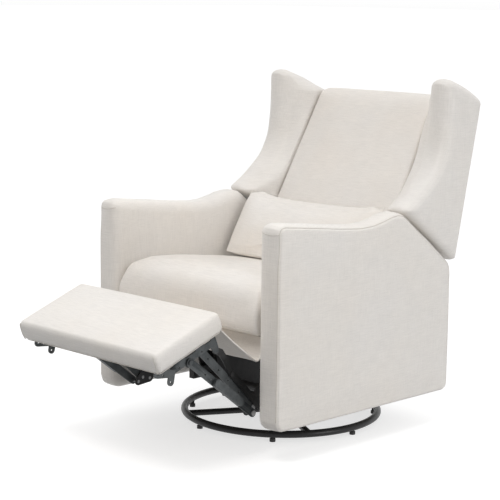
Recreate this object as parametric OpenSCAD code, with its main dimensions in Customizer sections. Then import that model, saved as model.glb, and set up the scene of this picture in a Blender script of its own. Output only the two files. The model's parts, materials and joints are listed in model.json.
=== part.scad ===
// Swivel glider recliner chair with a wing back, padded arms and a scissor-linkage footrest.
// Millimetres. +Z up, the chair faces -Y, +X is its left arm.
// Origin: swivel axis at the floor. Posed with the footrest out and the back upright.

/* [Overall] */
// Outside width over both arms
chair_w = 770; // [740:2:800]
// Thickness of one upholstered arm
arm_t = 83; // [70:1:95]

/* [Floor base] */
// Outside radius of the floor ring
ring_r = 313; // [295:1:330]
// Diameter of the ring tube
ring_tube = 22; // [18:1:25]
// Height of the ring tube centre above the floor
ring_z = 24; // [22:0.5:26]
// Diameter of the two crossing tubes
cross_tube_d = 19; // [16:1:22]
// Number of floor glides under the ring
glide_n = 7; // [5:1:9]
// Radius of one floor glide
glide_r = 9; // [7:0.5:11]

/* [Swivel and glide] */
// Radius of the swivel spindle
spindle_r = 8; // [6:0.5:10]
// Length of one hanging glide link between pivots
link_len = 100; // [90:1:110]
// Half the distance between front and rear glide links
link_half = 110; // [100:1:115]
// Height of the upper glide pivots
pivot_z = 235; // [230:1:240]
// Radius of a glide pin
pin_r = 6; // [5:0.5:7]

/* [Footrest] */
// Half width of the footrest pad
pad_hw = 295; // [270:1:297]
// Length of the footrest pad
pad_len = 247; // [210:1:260]
// Thickness of the footrest pad
pad_t = 46; // [40:1:46]
// Downward tilt of the open footrest in degrees
pad_tilt = 20.5; // [20:0.5:21]
// Width of the linkage bars
bar_w = 24; // [18:1:26]

/* [Soft parts] */
// Half width of the seat cushion
seat_hw = 297; // [285:1:298]
// Half width of the lumbar pillow
pillow_hw = 282; // [240:1:284]
// Half width of the back cushion at its top
back_top_hw = 241; // [215:1:250]

/* [Hidden] */
$fn = 48;

half_w = chair_w / 2;          // outer face of an arm
arm_in = half_w - arm_t;       // inner face of an arm
ring_c = ring_r - ring_tube / 2;

// Footrest linkage pivots, as [y, z]
S1 = [-236.7, 290.5];   // lower link on the side plates
D1 = [-368, 141];       // long link on the lower link
E1 = [-386, 130];       // front link on the lower link
X1 = [-340, 134];       // elbow link on the lower link
P1 = [-590, 352];       // long link on the footrest bracket
P2 = [-628, 315];       // front link at the footrest bracket
V1 = [-524, 332];       // elbow link at the footrest bracket
T0 = [-558, 449];       // rear top edge of the pad
B0 = [300, 262];        // back pivot
G0 = [180, 200];        // actuator pivot
C0 = [S1[0] + 45 * cos(210), S1[1] + 45 * sin(210)]; // crank pin
back_lean = 12.57;
front_lean = 29;

// Draws a profile given in (y, z) as a plate from x0, t thick along +X
module plate(x0, t) { translate([x0, 0, 0]) rotate([90, 0, 90]) linear_extrude(height = t) children(); }
// The same plate on both sides of the chair
module both() { children(); mirror([1, 0, 0]) children(); }
// Round bar along X at a (y, z) point
module rod_x(p, r, x0, x1) { translate([x0, p[0], p[1]]) rotate([0, 90, 0]) cylinder(r = r, h = x1 - x0); }
// Flat link outline between two pivots
module link2d(a, b, w) {
  d = b - a;
  translate(a) circle(r = w / 2);
  translate(b) circle(r = w / 2);
  translate(a) rotate(atan2(d[1], d[0])) translate([0, -w / 2]) square([norm(d), w]);
}
function unit(v) = v / norm(v);
function perp(v) = [-v[1], v[0]];
// One side of a strip of width w along the points p
function strip_side(p, w, s) = [for (i = [0 : len(p) - 1])
  let (d0 = unit(i > 0 ? p[i] - p[i - 1] : p[1] - p[0]), d1 = i < len(p) - 1 ? unit(p[i + 1] - p[i]) : d0, n = perp(unit(d0 + d1)))
  p[i] + s * w / 2 * n / (n * perp(d0))];
// Round cap of a strip at c, looking along d
function cap(c, d, w) = let (a = atan2(d[1], d[0])) [for (k = [1 : 7]) c + w / 2 * [cos(a + 90 - k * 22.5), sin(a + 90 - k * 22.5)]];
// Bent bar with round ends
module strip2d(p, w) {
  n = len(p) - 1; r = strip_side(p, w, -1);
  polygon(concat(strip_side(p, w, 1), cap(p[n], p[n] - p[n - 1], w), [for (i = [n : -1 : 0]) r[i]], cap(p[0], p[0] - p[1], w)));
}
module ring_torus(r) { translate([0, 0, ring_z]) rotate_extrude($fn = 96) translate([ring_c, 0]) circle(r = r, $fn = 32); }

// ---------------------------------------------------------------- floor base
module base_ring() { color([0.05, 0.05, 0.055]) ring_torus(ring_tube / 2); }

module base_cross() {
  color([0.05, 0.05, 0.055]) difference() {
    union() {
      for (a = [60, 150.5]) rotate([0, 0, a]) translate([-ring_c, 0, ring_z]) rotate([0, 90, 0])
        cylinder(r = cross_tube_d / 2, h = 2 * ring_c, $fn = 32);
      translate([0, 0, ring_z - 9]) cylinder(r = 46, h = 19);
    }
    ring_torus(ring_tube / 2);
    translate([0, 0, 0]) cylinder(r = spindle_r, h = 60);
  }
}

module floor_glides() {
  color([0.03, 0.03, 0.03]) for (i = [0 : glide_n - 1]) rotate([0, 0, -102 + i * 360 / glide_n])
    difference() {
      translate([ring_c - 6, 0, 0]) union() { cylinder(r = glide_r, h = 9); cylinder(r = 6, h = ring_z - 6); }
      rotate([0, 0, 102 - i * 360 / glide_n]) ring_torus(ring_tube / 2);
    }
}

module swivel_lower_plate() {
  color([0.12, 0.12, 0.13]) difference() {
    union() {
      translate([-75, -75, ring_z + 10]) cube([150, 150, 4]);
      translate([0, 0, ring_z + 14]) cylinder(r = 62, h = 8);
    }
    translate([0, 0, 20]) cylinder(r = spindle_r, h = 60);
    translate([0, 0, ring_z + 15]) cylinder(r = 44, h = 20);
  }
}

module swivel_spindle() {
  color([0.6, 0.6, 0.62]) union() {
    translate([0, 0, ring_z - 9]) cylinder(r = spindle_r, h = 48);
    translate([0, 0, 50.5]) cylinder(r = 15, h = 7);
  }
}

// --------------------------------------------------------------- swivel frame
module swivel_top_plate() {
  color([0.10, 0.10, 0.11]) difference() {
    union() {
      translate([-168, -60, ring_z + 22.2]) cube([336, 120, 4]);
      translate([-168, -90, ring_z + 22.2]) cube([40, 180, 4]);
      translate([128, -90, ring_z + 22.2]) cube([40, 180, 4]);
    }
    cylinder(r = spindle_r + 0.06, h = 80);
  }
}

module glide_tower() {
  plate(168, 4) polygon([[-90, ring_z + 22.2], [90, ring_z + 22.2], [link_half + 14, pivot_z - 40],
    [link_half + 14, pivot_z + 6], [link_half + 6, pivot_z + 14], [-link_half - 6, pivot_z + 14],
    [-link_half - 14, pivot_z + 6], [-link_half - 14, pivot_z - 40]]);
}
module glide_tower_left() { color([0.10, 0.10, 0.11]) glide_tower(); }
module glide_tower_right() { color([0.10, 0.10, 0.11]) mirror([1, 0, 0]) glide_tower(); }

module glide_pins_upper() {
  color([0.55, 0.55, 0.57]) both() for (y = [-link_half, link_half])
    { rod_x([y, pivot_z], pin_r, 172, 180.4); rod_x([y, pivot_z], 9, 180.2, 181.6); }
}

// --------------------------------------------------------------- glide links
module glide_link(y) {
  plate(175, 5) difference() {
    link2d([y, pivot_z], [y, pivot_z - link_len], 26);
    translate([y, pivot_z]) circle(r = pin_r + 0.06);
    translate([y, pivot_z - link_len]) circle(r = pin_r + 0.06);
  }
}
module front_link_left() { color([0.2, 0.2, 0.21]) glide_link(-link_half); }
module front_link_right() { color([0.2, 0.2, 0.21]) mirror([1, 0, 0]) glide_link(-link_half); }
module rear_link_left() { color([0.2, 0.2, 0.21]) glide_link(link_half); }
module rear_link_right() { color([0.2, 0.2, 0.21]) mirror([1, 0, 0]) glide_link(link_half); }

// ------------------------------------------------------------------ carriage
module base_rail() { translate([182, -205, pivot_z - link_len - 17]) cube([20, 410, 34]); }
module base_rail_left() { color([0.09, 0.09, 0.10]) base_rail(); }
module base_rail_right() { color([0.09, 0.09, 0.10]) mirror([1, 0, 0]) base_rail(); }
module cross_tube_front() { color([0.09, 0.09, 0.10]) rod_x([-186, pivot_z - link_len], 12.5, -182, 182); }
module cross_tube_rear() {
  color([0.09, 0.09, 0.10]) union() {
    rod_x([186, pivot_z - link_len], 12.5, -182, 182);
    both() plate(34, 4) polygon([[172, 135], [200, 135], [196, 205], [188, 216], [172, 216], [164, 205]]);
  }
}
module glide_pins_lower() {
  color([0.55, 0.55, 0.57]) both() for (y = [-link_half, link_half])
    { rod_x([y, pivot_z - link_len], pin_r, 174.6, 182); rod_x([y, pivot_z - link_len], 9, 173, 174.8); }
}
module riser() {
  plate(202, 4) polygon([[-150, 120], [150, 120], [150, 345], [60, 345], [40, 300], [-100, 300], [-110, 345], [-170, 345], [-170, 200]]);
}
module riser_left() { color([0.12, 0.12, 0.13]) riser(); }
module riser_right() { color([0.12, 0.12, 0.13]) mirror([1, 0, 0]) riser(); }

module seat_rail() { translate([206, -350, 308]) cube([20, 520, 37]); }
module seat_rail_left() { color([0.75, 0.6, 0.42]) seat_rail(); }
module seat_rail_right() { color([0.75, 0.6, 0.42]) mirror([1, 0, 0]) seat_rail(); }
module seat_front_rail() { color([0.75, 0.6, 0.42]) translate([-206, -350, 308]) cube([412, 22, 37]); }
module seat_rear_rail() { color([0.75, 0.6, 0.42]) translate([-202, 95, 308]) cube([404, 22, 37]); }

// One sinuous spring: a flat zigzag strip running front to back
module sinuous(x) {
  n = 16; y0 = -345; dy = 455 / n; a = 17; w = 2.2;
  pts = [for (i = [0 : n]) [x + (i % 2 == 0 ? -a : a), y0 + i * dy]];
  left = [for (i = [0 : n]) pts[i] + [(i % 2 == 0 ? -w : w) , (i == 0 ? -w : i == n ? w : 0)]];
  right = [for (i = [n : -1 : 0]) pts[i] + [(i % 2 == 0 ? w : -w), (i == 0 ? w : i == n ? -w : 0)]];
  // The strip is drawn as one parallelogram per run
  for (i = [0 : n - 1]) {
    p = pts[i]; q = pts[i + 1];
    translate([0, 0, 345]) linear_extrude(height = 3.5)
      polygon([[p[0], p[1] - w], [q[0], q[1] - w], [q[0], q[1] + w], [p[0], p[1] + w]]);
  }
}
module seat_springs() { color([0.5, 0.5, 0.52]) for (x = [-150, -75, 0, 75, 150]) sinuous(x); }
module seat_deck() { color([0.8, 0.78, 0.74]) translate([-226, -350, 348.5]) cube([452, 462, 6]); }

module seat_cushion() {
  color([0.93, 0.91, 0.87]) plate(-seat_hw, 2 * seat_hw) polygon([[-392, 357], [-408, 364], [-416, 385], [-418, 425],
    [-414, 462], [-402, 488], [-380, 503], [-340, 510], [-283, 509], [-200, 503], [-71, 486], [25, 471], [104, 461],
    [110, 455], [110, 357]]);
}

module arm_brackets() {
  color([0.12, 0.12, 0.13]) both() for (y = [-180, 62]) {
    translate([230, y, 322]) cube([arm_in - 230, 36, 5]);
    translate([230, y, 322]) cube([3, 36, 22]);
    translate([arm_in - 4, y, 300]) cube([4, 36, 24]);
  }
}

module arm() {
  plate(arm_in, arm_t) polygon([
    [-415, 125], [-410, 111], [-401, 102], [-388, 98], [326, 98], [337, 103], [343, 112], [344, 120],
    [344, 465], [341, 484], [334, 497], [326, 505], [134, 656], [118, 666], [92, 672], [60, 668], [26, 659], [-18, 651],
    [-75, 649], [-160, 656], [-250, 667], [-386, 682], [-402, 679], [-411, 672], [-415, 660]]);
}
module arm_left() { color([0.91, 0.89, 0.85]) arm(); }
module arm_right() { color([0.91, 0.89, 0.85]) mirror([1, 0, 0]) arm(); }

// Steel plate that carries the footrest torque tube in front and the back pivot behind
module side_plate() {
  difference() {
    union() {
      plate(226, 4) polygon([[-258, 290], [-250, 330], [-200, 345], [120, 345], [200, 322], [B0[0] - 10, B0[1] + 20], [B0[0] + 4, B0[1] - 15],
        [B0[0] - 30, B0[1] - 12], [150, 290], [-180, 300], [-216, 286]]);
      rod_x(S1, 22, 226, 230);
      rod_x(B0, 18, 226, 230);
    }
    rod_x(S1, 12.56, 220, 235);
  }
}
module side_plate_left() { color([0.15, 0.16, 0.17]) side_plate(); }
module side_plate_right() { color([0.15, 0.16, 0.17]) mirror([1, 0, 0]) side_plate(); }
module back_pivot_pins() { color([0.55, 0.55, 0.57]) both() { rod_x(B0, 6, 230, 237.4); rod_x(B0, 10, 237.2, 240); } }

// Cloth skirt that hangs from the seat front and rises to the rear of the footrest
module front_skirt() {
  color([0.80, 0.75, 0.68]) plate(-286, 572) polygon([[-372, 354], [-378, 300], [-386, 284], [-400, 284], [-440, 315],
    [-537, 394], [-534.5, 397], [-438, 319], [-400, 288], [-388, 287.5], [-381, 301], [-375, 354]]);
}

module control_panel() {
  color([0.08, 0.08, 0.09]) difference() {
    translate([arm_in - 4, -300, 575]) cube([4, 44, 92]);
    rod_x([-278, 645], 9.5, arm_in - 10, arm_in + 1);
    rod_x([-278, 619], 9.5, arm_in - 10, arm_in + 1);
    translate([arm_in - 10, -285, 589]) cube([20, 14, 7]);
  }
}
module charging_port() { color([0.35, 0.35, 0.36]) difference() {
  translate([arm_in - 4, -285, 589]) cube([4, 14, 7]);
  translate([arm_in - 5, -283.5, 590.5]) cube([4, 11, 4]); } }
module button_at(z) { rod_x([-278, z], 9, arm_in - 6, arm_in - 1.8); }
module button_recline() { color([0.75, 0.75, 0.76]) button_at(645); }
module button_upright() { color([0.75, 0.75, 0.76]) button_at(619); }

module power_box() {
  color([0.05, 0.05, 0.05]) difference() {
    union() {
      translate([60, 198.5, 120]) cube([80, 40, 32]);
      translate([100, 219, 112]) cylinder(r = 8, h = 10);
    }
    translate([100, 219, 111]) cylinder(r = 3, h = 15);
  }
}

// ---------------------------------------------------------------------- back
// Local frame on the leaning rear surface: y is out of the rear face, z runs up it
module on_back() { translate([0, 377, 508]) rotate([-back_lean, 0, 0]) children(); }
module back_board() { color([0.75, 0.6, 0.42]) on_back() translate([-222, -30, -215]) cube([444, 18, 690]); }
module back_bracket() {
  union() {
    on_back() translate([222, -28, -150]) cube([15, 14, 110]);
    plate(232, 5) difference() {
      union() {
        translate(B0) circle(r = 18);
        polygon([[282, 262], [318, 262], [327, 290], [328, 372], [312, 376], [298, 300]]);
      }
      translate(B0) circle(r = 6.06);
    }
  }
}
module back_bracket_left() { color([0.15, 0.16, 0.17]) back_bracket(); }
module back_bracket_right() { color([0.15, 0.16, 0.17]) mirror([1, 0, 0]) back_bracket(); }

// Loft of closed sections, each a list of [x, y] at one height
module loft(zs, secs) {
  n = len(secs[0]); m = len(zs);
  polyhedron(points = [for (i = [0 : m - 1]) for (p = secs[i]) [p[0], p[1], zs[i]]],
    faces = concat([[for (j = [0 : n - 1]) j]],
      [for (i = [0 : m - 2]) for (j = [0 : n - 1]) each [
        [i * n + j, (i + 1) * n + j, (i + 1) * n + (j + 1) % n],
        [i * n + j, (i + 1) * n + (j + 1) % n, i * n + (j + 1) % n]]],
      [[for (j = [n - 1 : -1 : 0]) (m - 1) * n + j]]));
}
function rear_y(z) = 377 + (z - 508) * 107 / 480;
function front_y(z) = 229 + (z - 658) * 188 / 339;
function side_x(z) = back_top_hw + 14 - (z - 658) * 14 / 339;

module back_cushion() {
  zs = [482, 500, 580, 650, 650.8, 760, 880, 980, 997, 1003];
  color([0.94, 0.92, 0.88]) loft(zs, [for (z = zs)
    let (x = z < 650.4 ? 295 : side_x(z), f = front_y(z) + (z > 1000 ? 12 : 0), r = rear_y(z) - 33 - (z > 1000 ? 12 : 0))
    [[-x, f], [x, f], [x, r], [-x, r]]]);
}

// Front edge of the wing: the lower edge runs parallel to the slope of the arm, then a long concave curve
wing_front = [[502, 357], [560, 278], [620, 196], [674, 121], [690, 150], [732, 207], [782, 267], [847, 301], [937, 312], [1044, 313], [1055, 318]];
function wing_rear(z) = z <= 988 ? rear_y(z) : z <= 1037 ? 484 - (z - 988) * 110 / 49 : 374 - (z - 1037) * 40 / 18;
module wing() {
  zs = [502, 560, 620, 651, 652.5, 674, 690, 732, 782, 847, 937, 988, 1000, 1037, 1055];
  loft(zs, [for (z = zs)
    let (f = lookup(z, wing_front), r = wing_rear(z),
      xi = z < 652 ? 301 : z <= 997 ? side_x(z) + 0.6 : min(286, side_x(997) + 1 + (z - 997) * 1.3),
      yi = z < 652 ? r - 1 : min(r - 1, max(f + 12, front_y(z))))
    [[half_w, f], [half_w, r], [xi, r], [xi, yi], [z < 675 ? 301 : 287, f]]]);
}
module wing_left() { color([0.91, 0.89, 0.85]) mirror([1, 0, 0]) mirror([1, 0, 0]) wing(); }
module wing_right() { color([0.91, 0.89, 0.85]) mirror([1, 0, 0]) wing(); }

module back_outer_panel() { color([0.91, 0.89, 0.85]) on_back() translate([-222, -12, -5]) cube([444, 12, 495]); }
module back_lower_panel() { color([0.91, 0.89, 0.85]) plate(-296, 592) polygon([[332, 118], [342, 118], [342, 345], [376, 500], [366.5, 500], [332, 346]]); }

module lumbar_pillow() {
  color([0.94, 0.92, 0.88]) translate([-pillow_hw, 0, 0]) rotate([90, 0, 90]) linear_extrude(height = 2 * pillow_hw)
    polygon([[14, 490], [24, 483], [40, 486], [100, 516], [140, 571], [160, 638], [164, 660], [154, 671], [138, 664], [82, 630], [40, 575]]);
}

// ------------------------------------------------------------------ footrest
module footrest_lower_links() {
  color([0.17, 0.18, 0.19]) both() plate(234, 4) difference() {
    hull() {
      translate(S1) circle(r = 18, $fn = 32);
      for (p = [D1, E1, X1]) translate(p) circle(r = 12, $fn = 32);
    }
    for (p = [D1, E1, X1]) translate(p) circle(r = 5);
  }
}
module torque_tube() {
  color([0.17, 0.18, 0.19]) union() {
    rod_x(S1, 12.5, -234, 234);
    for (x = [-20, 15]) plate(x, 5) link2d(S1, C0, 32);
    rod_x(C0, 7, -23, -12);
    rod_x(C0, 7, 12, 23);
  }
}
module footrest_link_pins() {
  color([0.5, 0.5, 0.52]) both() {
    rod_x(D1, 5, 234, 244.3); rod_x(D1, 8, 244.2, 245.6);
    rod_x(X1, 5, 234, 250.3); rod_x(X1, 8, 250.2, 251.6);
    rod_x(E1, 5, 234, 262.3); rod_x(E1, 8, 262.2, 265);
  }
}
module footrest_long_links() {
  color([0.17, 0.18, 0.19]) both() plate(240, 4) difference() {
    link2d(D1, P1, bar_w);
    for (p = [D1, P1]) translate(p) circle(r = 5.06);
    for (t = [0.25, 0.45, 0.62, 0.8]) translate(D1 + t * (P1 - D1)) circle(r = 3);
  }
}
module footrest_front_links() {
  u = (P2 - E1) / norm(P2 - E1);
  color([0.30, 0.33, 0.35]) both() {
    plate(258, 4) difference() {
      link2d(E1, P2, bar_w);
      translate(E1) circle(r = 5.06);
      for (t = [205, 235]) translate(E1 + t * u) circle(r = 3);
    }
    plate(262, 12) link2d(E1 + 72 * u, E1 + 186 * u, bar_w);
    rod_x(P2, 7, 262, 265);
    rod_x(P2, 4, 256.6, 258);
  }
}
module footrest_elbow_links() {
  color([0.13, 0.14, 0.14]) both() {
    plate(246, 4) difference() {
      strip2d([X1, [-460, 256], [-482, 296], [-502, 322], V1], 20);
      translate(X1) circle(r = 5.06);
    }
    rod_x(V1, 6, 243.5, 246);
    rod_x([-458, 253], 7, 250, 251.4);
  }
}
// Local frame on the footrest: y runs back along the pad to its rear top edge, z is out of its top
module on_pad() { translate([0, T0[0], T0[1]]) rotate([pad_tilt, 0, 0]) children(); }
function to_pad(p) = let (v = p - T0) [v[0] * cos(pad_tilt) + v[1] * sin(pad_tilt), -v[0] * sin(pad_tilt) + v[1] * cos(pad_tilt)];
module footrest_bracket() {
  p1 = to_pad(P1); p2 = to_pad(P2); v1 = to_pad(V1);
  on_pad() {
    plate(252, 4) difference() {
      polygon([[-70, -59], [-10, -59], [-1, -68], [0, -122], [-6, -130], [-14, -130], [-20, -122], [-26, -104], [-98, -104],
        [-104, -113], [-113, -116], [-122, -113], [-128, -104], [-178, -104], [-178, -84], [-162, -84], [-174, -59],
        [-112, -59], [-120, -84], [-80, -84], [-77, -74]]);
      polygon([[-46, -69], [-16, -71], [-19, -84], [-46, -84]]);
      for (y = [-60, -100, -150]) translate([y, -97]) circle(r = 2.6);
    }
    // flange screwed to the board
    translate([252, -200, -60.5]) cube([28, 195, 2.5]);
    // flip plate at the front end of the bar
    plate(258, 4) difference() {
      strip2d([[-194, -116], [-182, -96], [-230, -72]], 22);
      for (p = [[-194, -116], [-228, -72], [-212, -84]]) translate(p) circle(r = 3);
    }
    rod_x([-174, -94], 6, 256, 258);
    rod_x(p1, 5, 239.9, 252);
    rod_x(p1, 8, 238.4, 239.95);
  }
}
module footrest_bracket_left() { color([0.30, 0.33, 0.35]) footrest_bracket(); }
module footrest_bracket_right() { color([0.30, 0.33, 0.35]) mirror([1, 0, 0]) footrest_bracket(); }
module footrest_board() { color([0.75, 0.6, 0.42]) on_pad() translate([-283, -214, -pad_t - 12]) cube([566, 204, 12]); }
module footrest_pad() {
  color([0.95, 0.94, 0.91]) on_pad() plate(-pad_hw, 2 * pad_hw) polygon([
    [-6, 0], [0, -6], [0, -pad_t + 4], [-4, -pad_t], [-pad_len + 12, -pad_t], [-pad_len + 3, -pad_t + 5], [-pad_len, -pad_t + 14],
    [-pad_len + 2, -18], [-pad_len + 9, -6], [-pad_len + 20, 0]]);
}

// ------------------------------------------------------------------ actuator
act_a = atan2(C0[1] - G0[1], C0[0] - G0[0]); // direction from the rear pivot to the crank
module on_act() { translate([0, G0[0], G0[1]]) rotate([act_a - 180, 0, 0]) children(); }
module actuator_housing() {
  color([0.06, 0.06, 0.065]) on_act() difference() {
    union() {
      translate([0, 20, 0]) rotate([90, 0, 0]) cylinder(r = 28, h = 90);
      translate([0, -60, 0]) rotate([90, 0, 0]) cylinder(r = 16, h = 250);
      translate([0, -28, -66]) cylinder(r = 21, h = 66);
      rod_x([0, 0], 14, -34, 34);
    }
    translate([0, -70, 0]) rotate([90, 0, 0]) cylinder(r = 9.06, h = 260);
  }
}
module actuator_rod() {
  len_c = norm(C0 - G0);
  color([0.62, 0.62, 0.64]) on_act() union() {
    translate([0, -190, 0]) rotate([90, 0, 0]) cylinder(r = 9, h = len_c - 190 - 20);
    plate(-6, 12) difference() { union() { translate([-len_c, 0]) circle(r = 12); translate([-len_c, -9]) square([24, 18]); } translate([-len_c, 0]) circle(r = 5); }
  }
}

base_ring();
base_cross();
floor_glides();
swivel_lower_plate();
swivel_spindle();
swivel_top_plate();
glide_tower_left();
glide_tower_right();
glide_pins_upper();
front_link_left();
front_link_right();
rear_link_left();
rear_link_right();
base_rail_left();
base_rail_right();
cross_tube_front();
cross_tube_rear();
glide_pins_lower();
riser_left();
riser_right();
seat_rail_left();
seat_rail_right();
seat_front_rail();
seat_rear_rail();
seat_springs();
seat_deck();
seat_cushion();
arm_brackets();
arm_left();
arm_right();
side_plate_left();
side_plate_right();
back_pivot_pins();
front_skirt();
control_panel();
charging_port();
button_recline();
button_upright();
power_box();
back_board();
back_bracket_left();
back_bracket_right();
back_cushion();
wing_left();
wing_right();
back_outer_panel();
back_lower_panel();
lumbar_pillow();
footrest_lower_links();
torque_tube();
footrest_link_pins();
footrest_long_links();
footrest_front_links();
footrest_elbow_links();
footrest_bracket_left();
footrest_bracket_right();
footrest_board();
footrest_pad();
actuator_housing();
actuator_rod();
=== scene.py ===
import json
import math
import bmesh
import bpy
import numpy as np
from mathutils import Matrix, Vector


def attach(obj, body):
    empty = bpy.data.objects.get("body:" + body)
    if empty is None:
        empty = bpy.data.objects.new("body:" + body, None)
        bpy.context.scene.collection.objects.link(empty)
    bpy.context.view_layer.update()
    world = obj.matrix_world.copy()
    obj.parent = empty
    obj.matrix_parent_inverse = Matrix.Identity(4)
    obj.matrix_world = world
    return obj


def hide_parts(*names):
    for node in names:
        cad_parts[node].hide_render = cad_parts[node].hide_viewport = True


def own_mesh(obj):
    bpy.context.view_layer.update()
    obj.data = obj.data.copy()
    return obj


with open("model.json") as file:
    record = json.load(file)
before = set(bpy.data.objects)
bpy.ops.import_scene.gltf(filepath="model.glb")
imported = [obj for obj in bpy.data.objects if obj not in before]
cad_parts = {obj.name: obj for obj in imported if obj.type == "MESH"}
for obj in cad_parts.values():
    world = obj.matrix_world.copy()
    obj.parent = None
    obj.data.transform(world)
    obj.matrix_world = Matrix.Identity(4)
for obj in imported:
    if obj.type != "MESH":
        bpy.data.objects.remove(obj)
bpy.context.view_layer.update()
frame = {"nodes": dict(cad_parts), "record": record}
N = frame["nodes"]
MM = 0.001
rng = np.random.RandomState(7)


# ------------------------------------------------------------------ mesh tools
def new_obj(name, verts, faces, smooth=True):
    """verts in millimetres."""
    me = bpy.data.meshes.new(name)
    me.from_pydata([tuple(v) for v in np.asarray(verts, float) * MM], [], [tuple(f) for f in faces])
    me.validate()
    me.update()
    ob = bpy.data.objects.new(name, me)
    bpy.context.scene.collection.objects.link(ob)
    if smooth:
        me.shade_smooth()
    return ob


def get_co(ob):
    co = np.zeros(len(ob.data.vertices) * 3)
    ob.data.vertices.foreach_get("co", co)
    return co.reshape(-1, 3) / MM


def set_co(ob, P):
    ob.data.vertices.foreach_set("co", (np.asarray(P) * MM).ravel())
    ob.data.update()


def apply_all(ob):
    dg = bpy.context.evaluated_depsgraph_get()
    dg.update()
    me = bpy.data.meshes.new_from_object(ob.evaluated_get(dg))
    ob.modifiers.clear()
    old = ob.data
    ob.data = me
    bpy.data.meshes.remove(old)
    ob.data.shade_smooth()


def remeshed(node, name, voxel, smooth=6, base=None):
    """A copy of a CAD node as an even quad mesh."""
    me = N[node].data.copy() if base is None else base()
    ob = bpy.data.objects.new(name, me)
    bpy.context.scene.collection.objects.link(ob)
    me.materials.clear()
    m = ob.modifiers.new("r", "REMESH")
    m.mode = "VOXEL"
    m.voxel_size = voxel * MM
    if smooth:
        s = ob.modifiers.new("s", "SMOOTH")
        s.factor = 0.5
        s.iterations = smooth
    apply_all(ob)
    return ob


def project(P, f, steps=3, cap=30.0):
    P = P.copy()
    for _ in range(steps):
        d = f(P)
        g = np.stack([(f(P + np.array(e)) - d) for e in ((0.5, 0, 0), (0, 0.5, 0), (0, 0, 0.5))], 1) / 0.5
        g2 = np.maximum((g * g).sum(1), 0.2)
        s = np.clip(d / g2, -cap, cap)
        P -= g * s[:, None]
    return P


def relax(ob, f, rounds=2):
    """Smooth along the surface, then settle on it."""
    for _ in range(rounds):
        s = ob.modifiers.new("s", "SMOOTH")
        s.factor = 0.5
        s.iterations = 3
        apply_all(ob)
        set_co(ob, project(get_co(ob), f, 2))


def mirrored(ob, name):
    P = get_co(ob)
    P[:, 0] *= -1
    faces = [tuple(reversed(p.vertices)) for p in ob.data.polygons]
    return new_obj(name, P, faces)


def smax(a, b, k):
    h = np.maximum(k - np.abs(a - b), 0) / k
    return np.maximum(a, b) + h * h * k / 4


def smin(a, b, k):
    return -smax(-a, -b, k)


def sstep(a, b, x):
    t = np.clip((x - a) / (b - a), 0, 1)
    return t * t * (3 - 2 * t)


def rounded(points, radii, n=7):
    """Closed outline with its corners rounded."""
    pts = np.array(points, float)
    out = []
    m = len(pts)
    for i in range(m):
        p, a, b = pts[i], pts[i - 1], pts[(i + 1) % m]
        r = radii[i] if hasattr(radii, "__len__") else radii
        u, v = (a - p), (b - p)
        lu, lv = np.linalg.norm(u), np.linalg.norm(v)
        u, v = u / lu, v / lv
        ang = math.acos(np.clip(u @ v, -1, 1))
        if r <= 0 or ang > 3.05:
            out.append(p)
            continue
        t = min(r / math.tan(ang / 2), 0.48 * lu, 0.48 * lv)
        s, e = p + u * t, p + v * t
        for k in range(n + 1):
            w = k / n
            out.append((1 - w) ** 2 * s + 2 * w * (1 - w) * p + w * w * e)
    return np.array(out)


class Outline:
    """Signed distance to a closed outline in a plane, read from a fine grid."""

    def __init__(self, poly, pad=60, step=2.5):
        self.poly = np.array(poly, float)
        lo, hi = self.poly.min(0) - pad, self.poly.max(0) + pad
        self.lo, self.step = lo, step
        nx, ny = (np.ceil((hi - lo) / step).astype(int) + 1)
        gx, gy = lo[0] + step * np.arange(nx), lo[1] + step * np.arange(ny)
        X, Y = np.meshgrid(gx, gy, indexing="ij")
        Q = np.stack([X.ravel(), Y.ravel()], 1)
        best = np.full(len(Q), 1e18)
        inside = np.zeros(len(Q), bool)
        m = len(self.poly)
        for i in range(m):
            a, b = self.poly[i], self.poly[(i + 1) % m]
            e = b - a
            L2 = max(e @ e, 1e-9)
            t = np.clip(((Q - a) @ e) / L2, 0, 1)
            d = Q - a - t[:, None] * e
            best = np.minimum(best, (d * d).sum(1))
            c = (a[1] > Q[:, 1]) != (b[1] > Q[:, 1])
            if abs(e[1]) > 1e-12:
                xi = a[0] + (Q[:, 1] - a[1]) * e[0] / e[1]
                inside ^= c & (Q[:, 0] < xi)
        self.g = (np.sqrt(best) * np.where(inside, -1, 1)).reshape(nx, ny)

    def __call__(self, a, b):
        u = (a - self.lo[0]) / self.step
        v = (b - self.lo[1]) / self.step
        nx, ny = self.g.shape
        u = np.clip(u, 0, nx - 1.001)
        v = np.clip(v, 0, ny - 1.001)
        i, j = u.astype(int), v.astype(int)
        s, t = u - i, v - j
        g = self.g
        return (g[i, j] * (1 - s) + g[i + 1, j] * s) * (1 - t) + (g[i, j + 1] * (1 - s) + g[i + 1, j + 1] * s) * t


def resample(P, step, closed=False):
    P = np.array(P, float)
    if closed:
        P = np.vstack([P, P[:1]])
    L = np.r_[0, np.cumsum(np.linalg.norm(np.diff(P, axis=0), axis=1))]
    n = max(2, int(round(L[-1] / step)))
    t = np.linspace(0, L[-1], n + 1)
    Q = np.stack([np.interp(t, L, P[:, k]) for k in range(3)], 1)
    return Q[:-1] if closed else Q


def smooth_path(P, it=6, closed=False):
    P = P.copy()
    for _ in range(it):
        if closed:
            P = 0.5 * P + 0.25 * (np.roll(P, 1, 0) + np.roll(P, -1, 0))
        else:
            P[1:-1] = 0.5 * P[1:-1] + 0.25 * (P[:-2] + P[2:])
    return P


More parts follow.
